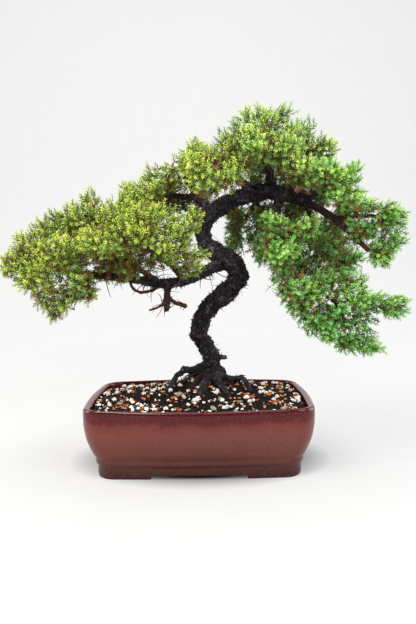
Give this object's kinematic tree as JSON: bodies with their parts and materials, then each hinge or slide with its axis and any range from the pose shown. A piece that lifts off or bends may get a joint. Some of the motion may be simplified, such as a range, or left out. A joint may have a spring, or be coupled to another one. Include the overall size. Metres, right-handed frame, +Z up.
{
  "type": "juniper bonsai",
  "caption": "Informal upright juniper bonsai: arched trunk, long low branch and hanging side branch, awl-needled sprays, in a glazed rounded rectangular pot on corner feet.",
  "frame": {"origin": "middle of the pot's footprint, on the surface it stands on", "axes": "+X to the viewer's right along the pot's long side, +Y away from the viewer along its short side, +Z up"},
  "size_m": [0.4572, 0.2004, 0.4057],
  "materials": {
    "mahogany_glaze": "satin mahogany glaze, darker and glossier under the rim",
    "black_plastic": "moulded drain mesh",
    "potting_mix": "damp black mix with white perlite and bark chips",
    "juniper_bark": "rough dark bark",
    "needles_yellow_green": "living needles, satin, young yellow-green",
    "needles_light_green": "living needles, satin, light green",
    "needles_green": "living needles, satin, mid green",
    "needles_deep_green": "living needles, satin, deep green"
  },
  "bodies": {
    "root": {"pot": "mahogany_glaze", "screen_left": "black_plastic", "screen_right": "black_plastic", "soil": "potting_mix", "wood": "juniper_bark", "spray_left_01": "needles_yellow_green", "spray_left_02": "needles_yellow_green", "spray_left_03": "needles_yellow_green", "spray_left_04": "needles_yellow_green", "spray_left_05": "needles_yellow_green", "spray_left_06": "needles_yellow_green", "spray_left_07": "needles_yellow_green", "spray_left_08": "needles_yellow_green", "spray_left_09": "needles_yellow_green", "spray_left_10": "needles_yellow_green", "spray_left_11": "needles_yellow_green", "spray_left_12": "needles_yellow_green", "spray_left_13": "needles_yellow_green", "spray_left_14": "needles_yellow_green", "spray_left_15": "needles_yellow_green", "spray_left_16": "needles_yellow_green", "spray_left_17": "needles_yellow_green", "spray_upper_01": "needles_light_green", "spray_upper_02": "needles_light_green", "spray_upper_03": "needles_light_green", "spray_upper_04": "needles_light_green", "spray_upper_05": "needles_light_green", "spray_upper_06": "needles_light_green", "spray_upper_07": "needles_light_green", "spray_upper_08": "needles_light_green", "spray_crown_01": "needles_green", "spray_crown_02": "needles_green", "spray_crown_03": "needles_green", "spray_crown_04": "needles_green", "spray_crown_05": "needles_green", "spray_crown_06": "needles_green", "spray_crown_07": "needles_green", "spray_crown_08": "needles_green", "spray_crown_09": "needles_green", "spray_crown_10": "needles_green", "spray_right_01": "needles_deep_green", "spray_right_02": "needles_deep_green", "spray_right_03": "needles_deep_green", "spray_right_04": "needles_deep_green", "spray_right_05": "needles_deep_green", "spray_right_06": "needles_deep_green", "spray_right_07": "needles_deep_green", "spray_right_08": "needles_deep_green", "spray_right_09": "needles_deep_green", "spray_right_10": "needles_deep_green", "spray_right_11": "needles_deep_green", "spray_right_12": "needles_deep_green", "spray_right_13": "needles_deep_green", "spray_right_14": "needles_deep_green", "spray_right_15": "needles_deep_green", "spray_right_16": "needles_deep_green", "spray_right_17": "needles_deep_green", "spray_right_18": "needles_deep_green", "spray_right_19": "needles_deep_green", "spray_right_20": "needles_deep_green"}
  },
  "joints": []
}
